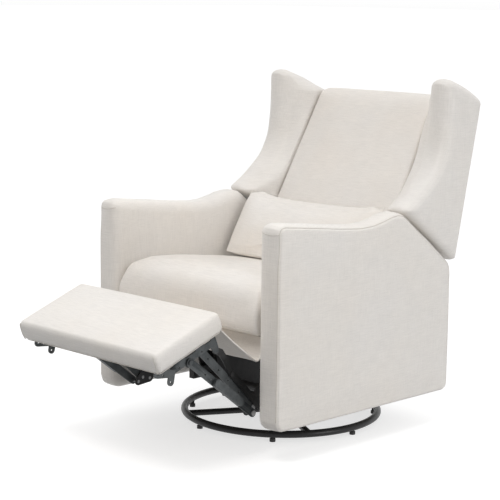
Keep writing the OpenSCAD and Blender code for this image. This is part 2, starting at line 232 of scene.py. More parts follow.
def tube(name, P, r, sides=8, closed=False, flat=1.0, nrm=None):
    """Round or flattened tube along points in millimetres."""
    P = np.array(P, float)
    n = len(P)
    T = (np.roll(P, -1, 0) - np.roll(P, 1, 0)) if closed else np.gradient(P, axis=0)
    T /= np.maximum(np.linalg.norm(T, axis=1), 1e-9)[:, None]
    ref = np.array([0.31, 0.52, 0.79]) if nrm is None else None
    A = []
    for i in range(n):
        if nrm is not None:
            a = nrm[i] - (nrm[i] @ T[i]) * T[i]
        else:
            a = ref - (ref @ T[i]) * T[i]
            ref = a / np.linalg.norm(a)
        A.append(a / max(np.linalg.norm(a), 1e-9))
    A = np.array(A)
    B = np.cross(T, A)
    V = []
    for i in range(n):
        for k in range(sides):
            c, s = math.cos(2 * math.pi * k / sides), math.sin(2 * math.pi * k / sides)
            V.append(P[i] + A[i] * c * r * flat + B[i] * s * r)
    F = []
    for i in range(n if closed else n - 1):
        j = (i + 1) % n
        for k in range(sides):
            l = (k + 1) % sides
            F.append((i * sides + k, i * sides + l, j * sides + l, j * sides + k))
    if not closed:
        F.append(tuple(range(sides - 1, -1, -1)))
        F.append(tuple((n - 1) * sides + k for k in range(sides)))
    return new_obj(name, V, F)


def normals_of(P, f):
    d = f(P)
    g = np.stack([(f(P + np.array(e)) - d) for e in ((0.6, 0, 0), (0, 0.6, 0), (0, 0, 0.6))], 1)
    return g / np.maximum(np.linalg.norm(g, axis=1), 1e-9)[:, None]


def stitches(name, P, nrm, pitch=5.4, length=3.5, r=0.6):
    """A row of small thread stitches lying on a surface along P."""
    Q = resample(P, pitch)
    L = np.r_[0, np.cumsum(np.linalg.norm(np.diff(P, axis=0), axis=1))]
    t = np.linspace(0, L[-1], len(Q))
    NN = np.stack([np.interp(t, L, nrm[:, k]) for k in range(3)], 1)
    T = np.gradient(Q, axis=0)
    T /= np.linalg.norm(T, axis=1)[:, None]
    V, F = [], []
    for c, n_, tt in zip(Q, NN, T):
        n_ = n_ / max(np.linalg.norm(n_), 1e-9)
        b = np.cross(tt, n_)
        base = len(V)
        for s, h, w in ((-0.5, -0.35, 0.5), (-0.3, 0.35, 1.0), (0.0, 0.6, 1.05), (0.3, 0.35, 1.0), (0.5, -0.35, 0.5)):
            for k in range(5):
                a = 2 * math.pi * k / 5
                V.append(c + tt * s * length + n_ * (h * r + math.sin(a) * r * w * 0.8) + b * math.cos(a) * r * w)
        for i in range(4):
            for k in range(5):
                l = (k + 1) % 5
                F.append((base + i * 5 + k, base + i * 5 + l, base + (i + 1) * 5 + l, base + (i + 1) * 5 + k))
        F.append(tuple(base + k for k in range(4, -1, -1)))
        F.append(tuple(base + 20 + k for k in range(5)))
    return new_obj(name, V, F)


def soft_sim(ob, pressure, cap, frames=20, pin=None, tension=25.0):
    """Fills the cover with pressure, keeps the result, and limits how far a point may move."""
    rest = get_co(ob)
    sc = bpy.context.scene
    m = ob.modifiers.new("cloth", "CLOTH")
    s = m.settings
    s.quality = 5
    s.mass = 0.3
    s.tension_stiffness = tension
    s.compression_stiffness = tension
    s.shear_stiffness = 8
    s.bending_stiffness = 1.2
    s.use_pressure = True
    s.uniform_pressure_force = pressure
    s.effector_weights.gravity = 0.0
    m.collision_settings.use_collision = False
    if pin is not None:
        g = ob.vertex_groups.new(name="pin")
        for i in np.nonzero(pin > 0)[0]:
            g.add([int(i)], float(pin[i]), "REPLACE")
        s.vertex_group_mass = "pin"
    m.point_cache.frame_start = 1
    m.point_cache.frame_end = frames
    for fr in range(1, frames + 1):
        sc.frame_set(fr)
    apply_all(ob)
    P = get_co(ob)
    D = P - rest
    L = np.linalg.norm(D, axis=1)
    k = np.minimum(1, cap / np.maximum(L, 1e-9))
    set_co(ob, rest + D * k[:, None])
    sc.frame_set(1)


def subdivide(ob, n=1):
    m = ob.modifiers.new("sub", "SUBSURF")
    m.levels = n
    m.render_levels = n
    apply_all(ob)


def noise3(P, scale, seed=0, octaves=3):
    """Smooth deterministic noise from a few sine waves, about -1 to 1."""
    r = np.random.RandomState(seed)
    out = np.zeros(len(P))
    amp, tot = 1.0, 0.0
    f = 1.0 / scale
    for _ in range(octaves):
        for _ in range(4):
            d = r.normal(size=3)
            d /= np.linalg.norm(d)
            out += amp * np.sin((P @ d) * f * (0.7 + 0.6 * r.rand()) + r.rand() * 6.28) * 0.5
        tot += amp
        amp *= 0.5
        f *= 2.1
    return out / tot / 1.2


# ------------------------------------------------------------------ materials
def mat_new(name):
    m = bpy.data.materials.new(name)
    m.use_nodes = True
    nt = m.node_tree
    nt.nodes.clear()
    out = nt.nodes.new("ShaderNodeOutputMaterial")
    b = nt.nodes.new("ShaderNodeBsdfPrincipled")
    nt.links.new(b.outputs["BSDF"], out.inputs["Surface"])
    return m, nt, b


def nd(nt, kind, **kw):
    n = nt.nodes.new(kind)
    for k, v in kw.items():
        setattr(n, k, v)
    return n


def mth(nt, op, a, b=None, c=None, clamp=False):
    n = nd(nt, "ShaderNodeMath", operation=op)
    n.use_clamp = clamp
    for i, v in enumerate((a, b, c)):
        if v is None:
            continue
        if isinstance(v, (int, float)):
            n.inputs[i].default_value = v
        else:
            nt.links.new(v, n.inputs[i])
    return n.outputs[0]


def noise(nt, vec, scale, detail=3.0, rough=0.5, stretch=None):
    src = vec
    if stretch is not None:
        mp = nd(nt, "ShaderNodeVectorMath", operation="MULTIPLY")
        nt.links.new(vec, mp.inputs[0])
        mp.inputs[1].default_value = stretch
        src = mp.outputs[0]
    n = nd(nt, "ShaderNodeTexNoise")
    n.inputs["Scale"].default_value = scale
    n.inputs["Detail"].default_value = detail
    n.inputs["Roughness"].default_value = rough
    nt.links.new(src, n.inputs["Vector"])
    return n.outputs["Fac"]


def ramp(nt, fac, stops):
    r = nd(nt, "ShaderNodeValToRGB")
    el = r.color_ramp.elements
    while len(el) < len(stops):
        el.new(0.5)
    for e, (p, c) in zip(el, stops):
        e.position = p
        e.color = (*c, 1) if len(c) == 3 else c
    nt.links.new(fac, r.inputs["Fac"])
    return r.outputs["Color"]


def mixc(nt, fac, a, b, blend="MIX"):
    m = nd(nt, "ShaderNodeMix", data_type="RGBA", blend_type=blend)
    for sock, v in ((0, fac), (6, a), (7, b)):
        if isinstance(v, (int, float)):
            m.inputs[sock].default_value = v
        elif isinstance(v, tuple):
            m.inputs[sock].default_value = (*v, 1)
        else:
            nt.links.new(v, m.inputs[sock])
    return m.outputs[2]


def fabric(name, base, warm, shade, pitch=0.0011, sheen=0.3, rough=0.40, bump=0.35, crease=1.0):
    """Plain weave with slubs, laid on each side by the surface's own direction."""
    m, nt, b = mat_new(name)
    tc = nd(nt, "ShaderNodeTexCoord")
    obj, nor = tc.outputs["Object"], tc.outputs["Normal"]
    s = nd(nt, "ShaderNodeSeparateXYZ")
    nt.links.new(obj, s.inputs[0])
    sn = nd(nt, "ShaderNodeSeparateXYZ")
    nt.links.new(nor, sn.inputs[0])
    w = [mth(nt, "POWER", mth(nt, "ABSOLUTE", sn.outputs[i]), 6.0) for i in range(3)]
    tot = mth(nt, "ADD", mth(nt, "ADD", w[0], w[1]), mth(nt, "ADD", w[2], 1e-4))
    k = 2 * math.pi / (2 * pitch)
    wob = noise(nt, obj, 55.0, 2.0)
    sines = []
    for i in range(3):
        ph = mth(nt, "MULTIPLY_ADD", s.outputs[i], k, mth(nt, "MULTIPLY", wob, 2.2))
        sines.append(mth(nt, "SINE", ph))
    pairs = [(1, 2), (0, 2), (0, 1)]
    acc = None
    for i, (p, q) in enumerate(pairs):
        # over and under threads of a plain weave
        prod = mth(nt, "MULTIPLY", sines[p], sines[q])
        t = mth(nt, "MULTIPLY", mth(nt, "DIVIDE", w[i], tot), prod)
        acc = t if acc is None else mth(nt, "ADD", acc, t)
    slub_h = noise(nt, obj, 1.0, 2.0, 0.55, (30.0, 30.0, 950.0))
    slub_v = noise(nt, obj, 1.0, 2.0, 0.55, (950.0, 950.0, 26.0))
    slub = mth(nt, "ADD", slub_h, slub_v)
    big = noise(nt, obj, 4.2, 3.0, 0.5)
    mid = noise(nt, obj, 23.0, 3.0, 0.55)
    c1 = ramp(nt, big, [(0.34, shade), (0.52, base), (0.7, warm)])
    tone = mth(nt, "MULTIPLY_ADD", mth(nt, "SUBTRACT", slub, 1.0), 0.24, 0.98)
    tone = mth(nt, "MULTIPLY_ADD", acc, 0.035, tone)
    tone = mth(nt, "MULTIPLY_ADD", mth(nt, "SUBTRACT", mid, 0.5), 0.07, tone)
    cc = nd(nt, "ShaderNodeVectorMath", operation="SCALE")
    nt.links.new(c1, cc.inputs[0])
    nt.links.new(tone, cc.inputs[3])
    nt.links.new(cc.outputs[0], b.inputs["Base Color"])
    h = mth(nt, "MULTIPLY_ADD", mth(nt, "SUBTRACT", slub, 1.0), 0.9, acc)
    bp = nd(nt, "ShaderNodeBump")
    bp.inputs["Strength"].default_value = bump
    bp.inputs["Distance"].default_value = 0.00035
    nt.links.new(h, bp.inputs["Height"])
    # slow softness of cloth over foam
    bp2 = nd(nt, "ShaderNodeBump")
    bp2.inputs["Strength"].default_value = 0.35 * crease
    bp2.inputs["Distance"].default_value = 0.004
    nt.links.new(noise(nt, obj, 9.0, 2.5, 0.45), bp2.inputs["Height"])
    nt.links.new(bp.outputs[0], bp2.inputs["Normal"])
    nt.links.new(bp2.outputs[0], b.inputs["Normal"])
    rr = mth(nt, "MULTIPLY_ADD", mid, 0.12, rough - 0.06)
    nt.links.new(rr, b.inputs["Roughness"])
    b.inputs["Specular IOR Level"].default_value = 0.5
    b.inputs["Sheen Weight"].default_value = sheen
    b.inputs["Sheen Roughness"].default_value = 0.42
    b.inputs["Sheen Tint"].default_value = (1.0, 0.98, 0.95, 1)
    return m


def thread_mat(name, col):
    m, nt, b = mat_new(name)
    tc = nd(nt, "ShaderNodeTexCoord")
    n = noise(nt, tc.outputs["Object"], 900.0, 2.0)
    nt.links.new(mixc(nt, n, tuple(c * 0.86 for c in col), col), b.inputs["Base Color"])
    b.inputs["Roughness"].default_value = 0.5
    b.inputs["Sheen Weight"].default_value = 0.3
    return m


def metal(name, col, worn, metallic=0.7, rough=0.42, coat=0.0, dust=0.12):
    """Painted or plated steel with brushed roughness, dust on top faces and rubbed edges."""
    m, nt, b = mat_new(name)
    tc = nd(nt, "ShaderNodeTexCoord")
    obj = tc.outputs["Object"]
    geo = nd(nt, "ShaderNodeNewGeometry")
    fine = noise(nt, obj, 260.0, 4.0, 0.6)
    mid = noise(nt, obj, 38.0, 4.0, 0.55)
    streak = noise(nt, obj, 1.0, 3.0, 0.6, (60.0, 900.0, 900.0))
    edge = mth(nt, "MULTIPLY", mth(nt, "SUBTRACT", geo.outputs["Pointiness"], 0.512), 16.0, clamp=True)
    edge = mth(nt, "MULTIPLY", edge, mth(nt, "MULTIPLY", mid, 1.3), clamp=True)
    c0 = mixc(nt, mth(nt, "MULTIPLY", mid, 0.9, clamp=True), tuple(c * 0.82 for c in col), tuple(min(1, c * 1.2) for c in col))
    c1 = mixc(nt, edge, c0, worn)
    sn = nd(nt, "ShaderNodeSeparateXYZ")
    nt.links.new(geo.outputs["Normal"], sn.inputs[0])
    top = mth(nt, "MULTIPLY", mth(nt, "SUBTRACT", sn.outputs[2], 0.5), 2.0, clamp=True)
    dd = mth(nt, "MULTIPLY", mth(nt, "MULTIPLY", top, fine), dust, clamp=True)
    c2 = mixc(nt, dd, c1, (0.55, 0.53, 0.5))
    nt.links.new(c2, b.inputs["Base Color"])
    b.inputs["Metallic"].default_value = metallic
    b.inputs["Specular IOR Level"].default_value = 0.32
    r = mth(nt, "MULTIPLY_ADD", mth(nt, "SUBTRACT", streak, 0.5), 0.25, rough)
    r = mth(nt, "MULTIPLY_ADD", mth(nt, "SUBTRACT", mid, 0.5), 0.2, r)
    nt.links.new(r, b.inputs["Roughness"])
    if coat:
        b.inputs["Coat Weight"].default_value = coat
        b.inputs["Coat Roughness"].default_value = 0.2
    bp = nd(nt, "ShaderNodeBump")
    bp.inputs["Strength"].default_value = 0.25
    bp.inputs["Distance"].default_value = 0.0002
    nt.links.new(fine, bp.inputs["Height"])
    nt.links.new(bp.outputs[0], b.inputs["Normal"])
    return m


def plastic(name, col, rough=0.45):
    m, nt, b = mat_new(name)
    tc = nd(nt, "ShaderNodeTexCoord")
    obj = tc.outputs["Object"]
    n = noise(nt, obj, 600.0, 3.0, 0.6)
    big = noise(nt, obj, 25.0, 3.0)
    nt.links.new(mixc(nt, big, tuple(c * 0.85 for c in col), tuple(min(1, c * 1.2) for c in col)), b.inputs["Base Color"])
    nt.links.new(mth(nt, "MULTIPLY_ADD", big, 0.18, rough - 0.09), b.inputs["Roughness"])
    bp = nd(nt, "ShaderNodeBump")
    bp.inputs["Strength"].default_value = 0.3
    bp.inputs["Distance"].default_value = 0.00015
    nt.links.new(n, bp.inputs["Height"])
    nt.links.new(bp.outputs[0], b.inputs["Normal"])
    return m


def timber(name):
    m, nt, b = mat_new(name)
    tc = nd(nt, "ShaderNodeTexCoord")
    obj = tc.outputs["Object"]
    ring = noise(nt, obj, 1.0, 5.0, 0.6, (5.0, 90.0, 90.0))
    fine = noise(nt, obj, 1.0, 4.0, 0.7, (30.0, 700.0, 700.0))
    c = ramp(nt, ring, [(0.32, (0.36, 0.24, 0.13)), (0.5, (0.52, 0.37, 0.22)), (0.66, (0.62, 0.47, 0.3))])
    c = mixc(nt, mth(nt, "MULTIPLY", fine, 0.4), c, (0.3, 0.2, 0.11))
    nt.links.new(c, b.inputs["Base Color"])
    b.inputs["Roughness"].default_value = 0.62
    bp = nd(nt, "ShaderNodeBump")
    bp.inputs["Strength"].default_value = 0.3
    bp.inputs["Distance"].default_value = 0.0004
    nt.links.new(fine, bp.inputs["Height"])
    nt.links.new(bp.outputs[0], b.inputs["Normal"])
    return m


M = {
    "skirt_cloth": fabric("SkirtCloth", (0.74, 0.70, 0.655), (0.76, 0.71, 0.655), (0.72, 0.69, 0.65), sheen=0.1, rough=0.75, crease=2.0),
    "upholstery": fabric("Upholstery", (0.868, 0.835, 0.793), (0.872, 0.833, 0.783), (0.862, 0.834, 0.80)),
    "seat_fabric": fabric("SeatFabric", (0.878, 0.838, 0.789), (0.882, 0.833, 0.776), (0.872, 0.838, 0.80), crease=1.0),
    "lining": fabric("Lining", (0.62, 0.61, 0.60), (0.66, 0.64, 0.62), (0.56, 0.56, 0.56), pitch=0.0016, sheen=0.05, rough=0.85, crease=1.6),
    "black_steel": metal("BlackSteel", (0.008, 0.008, 0.009), (0.06, 0.06, 0.06), 0.1, 0.42, 0.15, 0.05),
    # Linkage steels: their own dark finish, darkened further to paint the shade beneath the seat
    "dark_steel": metal("DarkSteelPaintedShade", (0.006, 0.0065, 0.007), (0.05, 0.05, 0.052), 0.15, 0.5, 0.0, 0.03),
    "grey_steel": metal("GreySteelPaintedShade", (0.024, 0.029, 0.032), (0.12, 0.13, 0.135), 0.3, 0.5, 0.0, 0.04),
    "zinc_steel": metal("ZincSteel", (0.22, 0.23, 0.24), (0.45, 0.45, 0.45), 0.85, 0.36),
    "timber": timber("Timber"),
    "black_plastic": plastic("BlackPlastic", (0.016, 0.016, 0.017), 0.42),
    "button_plastic": plastic("ButtonPlastic", (0.34, 0.345, 0.35), 0.38),
    "glide_plastic": plastic("GlidePlastic", (0.02, 0.02, 0.02), 0.55),
    "thread": thread_mat("Thread", (0.93, 0.91, 0.87)),
    # Seam welt fabric: a darker copy of the upholstery that paints the shade of the seam groove along welts and piping
    "welt": fabric("WeltPaintedShade", (0.70, 0.66, 0.61), (0.71, 0.66, 0.60), (0.69, 0.66, 0.62), pitch=0.0009, crease=0.3),
}


def put(ob, mat, body):
    ob.data.materials.clear()
    ob.data.materials.append(M[mat])
    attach(ob, body)
    return ob


# ------------------------------------------------------------------ profile of the chair
def front_y(z): return 229 + (z - 658) * 188 / 339
def rear_y(z): return 377 + (z - 508) * 107 / 480
def side_x(z): return 255 - (z - 658) * 14 / 339


ARM_PTS = [(-415, 125), (-410, 111), (-401, 102), (-388, 98), (326, 98), (337, 103), (343, 112), (344, 120), (344, 465), (341, 484), (334, 497), (326, 505), (134, 656), (118, 666), (92, 672), (60, 668), (26, 659), (-18, 651), (-75, 649), (-160, 656), (-250, 667), (-386, 682), (-402, 679), (-411, 672), (-415, 660)]
ARM = Outline(ARM_PTS)
WZ = [502, 560, 620, 674, 690, 732, 782, 847, 937, 1044, 1055]
WY = [357, 278, 196, 121, 150, 207, 267, 301, 312, 313, 318]


def wing_rear(z):
    return rear_y(z) if z <= 988 else 484 - (z - 988) * 110 / 49 if z <= 1037 else 374 - (z - 1037) * 40 / 18


_wf = smooth_path(resample(np.array([[y, z, 0] for z, y in zip(WZ, WY)][3:-1], float), 8), 12)
_top = [(313.5, 1040), (319, 1050), (330, 1054.5), (345, 1053.5), (374, 1044), (410, 1030), (445, 1013), (468, 999), (479, 989), (482, 978)]
WING_PTS = [(357, 502), (119, 676)] + [(p[0], p[1]) for p in _wf[9:]] + _top + [(rear_y(960), 960), (rear_y(850), 850), (rear_y(700), 700), (rear_y(560), 560), (rear_y(502), 502)]
WING_PTS = [tuple(p) for p in rounded(WING_PTS, [16, 17] + [0] * (len(_wf) - 9 + len(_top)) + [0, 0, 0, 0, 14], 6)]
WING = Outline(WING_PTS)


def arm_f(P):
    x, y, z = P.T
    u = np.clip((x - 341) / 44, -1, 1)
    up = sstep(560, 640, z)
    fr = sstep(-330, -400, y) * (1 - up)
    a = ARM(y, z) + up * (9.5 * u * u - 3.0) + fr * (3.0 * u * u - 1.0)
    body = sstep(-4, -70, ARM(y, z))
    outer = x - 385 - 2.5 * body
    inner = 302 - x + 0.5
    a += 0.5 * noise3(P, 70, 3)
    outer += 0.35 * noise3(P, 90, 4)
    d = smax(a, outer, 11)
    # the seam at the outer edge sits in a shallow groove
    d = d + 1.0 * np.exp(-((a - outer) / 2.6) ** 2)
    return smax(d, inner, 30)


_wz = np.array([p[1] for p in _wf])
_wy = smooth_path(np.array([[p[0], 0, 0] for p in _wf], float), 20)[:, 0]


def wing_f(P):
    x, y, z = P.T
    f = np.interp(z, _wz, _wy)
    xi = np.where(z <= 990, side_x(z) + 0.6, np.interp(z, [990, 1050], [241.8, 284.0]))
    yi = np.maximum(f + 14, front_y(z) - 4)
    xf = np.interp(z, [675, 700], [299.0, 287.0])
    vx, vy = xi - xf, yi - f
    L = np.sqrt(vx * vx + vy * vy) + 1e-6
    line = ((x - xf) * (-vy) + (y - f) * vx) / L
    low = 301 - x
    t = sstep(622, 640, z)
    q = np.clip(((x - xf) * vx + (y - f) * vy) / (L * L), 0, 1)
    line = line + 4 * 4 * q * (1 - q) * sstep(660, 760, z)
    inner = (1 - t) * low + t * smax(line, xi - x, 5)
    u = np.clip((x - 337) / 48, -1, 1)
    a0 = WING(y, z)
    fr = np.maximum(sstep(90, 5, y - f) * sstep(640, 700, z), sstep(950, 1020, z))
    a = a0 + fr * (10.0 * u * u - 3.0) + 0.4 * noise3(P, 80, 5)
    body = sstep(-4, -60, a0)
    outer = x - 385 - 2.0 * body + 0.35 * noise3(P, 95, 6)
    d = smax(a, outer, 26)
    return smax(d, inner, 10 + 44 * sstep(640, 720, z))


def back_f(P):
    x, y, z = P.T
    t = sstep(618, 621, z)
    hw = 295 * (1 - t) + (side_x(z) - 0.4) * t
    u = np.clip(x / hw, -1, 1)
    v = np.clip((z - 800) / 200, -1, 1)
    bulge = 9 * (1 - u ** 4) * (1 - 0.75 * np.maximum(v, 0) ** 4)
    front = ((front_y(z) - bulge) - y) * 0.8745 + 0.7 * noise3(P, 85, 8)
    side = np.abs(x) - hw
    rear = y - (rear_y(z) - 33)
    d = smax(front, side, 16)
    d = smax(d, smax(z - 1002 - 2 * (1 - u ** 4), rear, 16), 26)
    return np.maximum(d, 482 - z)


SEAT_PTS = [(-392, 357), (-408, 364), (-416, 385), (-418, 425), (-414, 462), (-402, 488), (-380, 503), (-340, 510), (-283, 509), (-200, 503), (-71, 486), (25, 471), (104, 461), (110, 455), (110, 357)]


def softened(pts, step=6, it=5):
    Q = resample(np.array([[p[0], p[1], 0] for p in pts], float), step, closed=True)
    return [tuple(q[:2]) for q in smooth_path(Q, it, closed=True)]


SEAT = Outline(softened(SEAT_PTS, 5, 3))


def seat_f(P):
    x, y, z = P.T
    u = np.abs(x) / 297
    s = np.clip((-345 - y) / 73, 0, 1)
    a = SEAT(y, z) + sstep(400, 470, z) * (9 * np.clip(u, 0, 1) ** 3 - 4) + 0.8 * noise3(P, 90, 11)
    side = np.abs(x) - (298 - 2 * s * s)
    k = 14 + 36 * sstep(415, 480, z)
    return smax(a, side, k)


PIL_PTS = [(14, 490), (24, 483), (40, 486), (100, 516), (140, 571), (160, 638), (164, 660), (154, 671), (138, 664), (82, 630), (40, 575)]
PIL = Outline(softened(PIL_PTS, 5, 14))


BLADE = Outline([(p + 28, q - 5) for p, q in [(-9, 482), (18, 530), (51, 584), (84, 643), (112, 684), (122, 688), (127, 682), (101, 638), (71, 578), (39, 525), (7, 480), (-2, 478)]])


def pillow_f(P):
    x, y, z = P.T
    u = np.clip(np.abs(x) / 294, 0, 1.0)
    sag = 12 * (1 - u ** 2.2) * sstep(600, 670, z)
    fat = PIL(y, 671 - (682 - (z + sag)) * 0.905)
    w = sstep(0.5, 1.06, u) ** 1.6
    a = fat * (1 - w) + BLADE(y, z) * w + 1.2 * noise3(P, 60, 14) * (1 - w)
    return smax(a, np.abs(x) - 284 + 0.5 * noise3(P, 120, 15), 14)


PA = math.radians(20.5)


def to_pad(P):
    y, z = P[:, 1] + 558, P[:, 2] - 449
    return P[:, 0], y * math.cos(PA) + z * math.sin(PA), -y * math.sin(PA) + z * math.cos(PA)


def from_pad(x, y, z):
    x, y, z = (np.asarray(v, float) for v in (x, y, z))
    return np.stack([x + 0 * y, y * math.cos(PA) - z * math.sin(PA) - 558, y * math.sin(PA) + z * math.cos(PA) + 449], -1)


def pad_f(P):
    x, y, z = to_pad(P)
    u, v = np.clip(np.abs(x) / 295, 0, 1), np.clip(np.abs(y + 118) / 118, 0, 1)
    top = z - 3 - 4 * (1 - u ** 6) * (1 - v ** 6) + 0.5 * noise3(P, 70, 17)
    sx, sy = np.abs(x) - 296.5, np.abs(y + 123.5) - 124.5
    rim = smax(sx, sy, 11)
    bulge = 2.5 * (1 - np.clip(np.abs(z + 28) / 28, 0, 1) ** 2)
    d = smax(rim - bulge, top, 11)
    return smax(d, -57 - z, 7)


BA = math.radians(-12.57)


def to_back(P):
    y, z = P[:, 1] - 377, P[:, 2] - 508
    return P[:, 0], y * math.cos(BA) + z * math.sin(BA), -y * math.sin(BA) + z * math.cos(BA)


def outer_f(P):
    x, y, z = to_back(P)
    u, v = np.clip(np.abs(x) / 235, 0, 1), np.clip(np.abs(z - 242.5) / 247.5, 0, 1)
    zw = P[:, 2]
    t = sstep(618, 621, zw)
    hw = 299.5 * (1 - t) + (side_x(zw) - 1.0) * t
    rim = smax(np.abs(x) - hw, np.abs(z - 242.5) - 247.5, 12)
    face = y - 4.5 * (1 - u ** 6) * (1 - v ** 6) + 1.5 + 0.4 * noise3(P, 90, 21)
    return smax(smax(rim, face, 9), -12 - y, 2)


LOW = Outline([(332, 118), (342, 118), (342, 345), (376, 500), (366.5, 500), (332, 346)], 40, 1.0)


def lower_f(P):
    x, y, z = P.T
    return smax(LOW(y, z) - 0.6 + 0.25 * noise3(P, 80, 23), np.abs(x) - 299.5, 5)


# ------------------------------------------------------------------ soft goods
def soft(name, node, f, voxel, body, mat, sim=None, levels=1, rounds=1, base=None):
    ob = remeshed(node, name, voxel, 2, base)
    set_co(ob, project(get_co(ob), f, 4))
    relax(ob, f, rounds)
    if sim:
        P0 = get_co(ob)
        if sim.get("shrink"):
            set_co(ob, P0 - normals_of(P0, f) * sim["shrink"])
        pin = sim["pin"](P0) if sim.get("pin") else None
        soft_sim(ob, sim.get("pressure", 4), sim["cap"], 20, pin)
        P1 = get_co(ob)
        d = f(P1)
        hi, lo = sim.get("out", 6.0), sim.get("in", 8.0)
        n = normals_of(P1, f)
        P1 -= n * (np.maximum(d - hi, 0) - np.maximum(-lo - d, 0))[:, None]
        if sim.get("keep"):
            P1 = P0 + (P1 - P0) * sim["keep"](P0)[:, None]
        set_co(ob, P1)
    if levels:
        subdivide(ob, levels)
        if not sim:
            set_co(ob, project(get_co(ob), f, 2))
    put(ob, mat, body)
    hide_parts(node)
    return ob


V = 7.0
arm_l = soft("SM_Arm_Left", "arm_left", arm_f, V, "carriage", "upholstery")
wing_l = soft("SM_Wing_Left", "wing_left", wing_f, V, "back", "upholstery")


def twin(ob, name, node, body, mat):
    t = mirrored(ob, name)
    put(t, mat, body)
    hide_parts(node)
    return t


arm_r = twin(arm_l, "SM_Arm_Right", "arm_right", "carriage", "upholstery")
wing_r = twin(wing_l, "SM_Wing_Right", "wing_right", "back", "upholstery")

back_c = soft("SM_BackCushion", "back_cushion", back_f, V + 1, "back", "seat_fabric",
              dict(cap=22, shrink=2.0, out=5, **{"in": 2.0}, pin=lambda P: np.clip(np.maximum(sstep(24, 4, np.abs(np.abs(P[:, 0]) - side_x(P[:, 2]))), sstep(250, 300, P[:, 1] - front_y(P[:, 2]) + 240)), 0, 1) + sstep(520, 500, P[:, 2])))
seat_c = soft("SM_SeatCushion", "seat_cushion", seat_f, V + 2, "carriage", "seat_fabric",
              dict(cap=26, shrink=2.0, out=3, keep=lambda P: sstep(385, 440, P[:, 2]) * (1 - sstep(250, 292, np.abs(P[:, 0]))), **{"in": 2.5}, pin=lambda P: sstep(372, 360, P[:, 2]) + sstep(80, 105, P[:, 1])))
pillow = soft("SM_LumbarPillow", "lumbar_pillow", pillow_f, V, "lumbar_pillow", "seat_fabric",
              dict(cap=22, shrink=1.0, out=4, pressure=4, keep=lambda P: (1 - sstep(0.78, 0.97, np.abs(P[:, 0]) / 296)) * sstep(676, 655, P[:, 2]) * sstep(486, 510, P[:, 2]), **{"in": 2.0}))
pad_o = soft("SM_FootrestPad", "footrest_pad", pad_f, V - 1.5, "footrest", "upholstery",
             dict(cap=22, shrink=0.0, out=2, pin=lambda P: np.maximum(sstep(-14, -24, to_pad(P)[2]), sstep(-16, -4, np.maximum(np.abs(P[:, 0]) - 295, np.abs(to_pad(P)[1] + 123.5) - 124.5))), **{"in": 0.4}))


def panel_base():
    me = bpy.data.meshes.new("panel")
    bm = bmesh.new()
    for hx, z0, z1 in ((299, -5, 122), (231, 110, 490)):
        vs = []
        for dx, dy, dz in [(-1, -12, z0), (1, -12, z0), (1, 0, z0), (-1, 0, z0), (-1, -12, z1), (1, -12, z1), (1, 0, z1), (-1, 0, z1)]:
            vs.append(bm.verts.new((dx * hx * MM, (377 + math.cos(BA) * dy - math.sin(BA) * dz) * MM, (508 + math.sin(BA) * dy + math.cos(BA) * dz) * MM)))
        for q in ((3, 2, 1, 0), (4, 5, 6, 7), (0, 1, 5, 4), (1, 2, 6, 5), (2, 3, 7, 6), (3, 0, 4, 7)):
            bm.faces.new([vs[k] for k in q])
    bm.to_mesh(me)
    bm.free()
    return me


outer_p = soft("SM_BackOuterPanel", "back_outer_panel", outer_f, 4.5, "back", "upholstery", levels=0, base=panel_base)
lower_p = soft("SM_BackLowerPanel", "back_lower_panel", lower_f, 3.6, "back", "upholstery", levels=0)


# ------------------------------------------------------------------ skirt between the seat and the footrest
def skirt():
    prof = smooth_path(resample(np.array([[-373.5, 353, 0], [-379.5, 300, 0], [-388, 286.5, 0], [-400, 286, 0], [-440, 317, 0], [-490, 355.5, 0], [-536, 395, 0]], float), 4), 3)
    nx = 96
    xs = np.linspace(-286, 286, nx + 1)
    n = len(prof)
    top, t = [], np.gradient(prof, axis=0)
    t /= np.linalg.norm(t, axis=1)[:, None]
    nn = np.stack([t[:, 1], -t[:, 0]], 1)
    s = np.linspace(0, 1, n)
    V_, F_ = [], []
    env = np.sin(np.pi * np.clip(s, 0, 1)) ** 0.7
    for side in (1, -1):
        for i in range(n):
            for j, x in enumerate(xs):
                w = 0.9 * math.sin(x / 61 + 2.3 * s[i]) + 0.7 * math.sin(x / 33 - 1.7 * s[i] + 1) + 0.5 * math.sin(x / 19 + 4 * s[i])
                o = env[i] * w * 0.9 + side * 0.7
                V_.append((x, prof[i, 0] + nn[i, 0] * o, prof[i, 1] + nn[i, 1] * o))
    m = nx + 1
    N1 = n * m
    for i in range(n - 1):
        for j in range(nx):
            a = i * m + j
            F_.append((a, a + 1, a + m + 1, a + m))
            F_.append((N1 + a, N1 + a + m, N1 + a + m + 1, N1 + a + 1))
    for i in range(n - 1):
        for j in (0, nx):
            a, b_ = i * m + j, (i + 1) * m + j
            F_.append((a, b_, N1 + b_, N1 + a) if j == 0 else (b_, a, N1 + a, N1 + b_))
    for j in range(nx):
        for i in (0, n - 1):
            a, b_ = i * m + j, i * m + j + 1
            F_.append((b_, a, N1 + a, N1 + b_) if i == 0 else (a, b_, N1 + b_, N1 + a))
    ob = new_obj("SM_FrontSkirt", V_, F_)
    return ob, prof


sk, sk_prof = skirt()
put(sk, "skirt_cloth", "carriage")
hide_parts("front_skirt")
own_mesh(sk)
for sgn, tag in ((1, "Left"), (-1, "Right")):
    h = tube("SM_SkirtHem_" + tag, [(sgn * 284.5, a, b_) for a, b_, _ in sk_prof], 2.3, 8)
    put(h, "upholstery", "carriage")
    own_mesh(h)


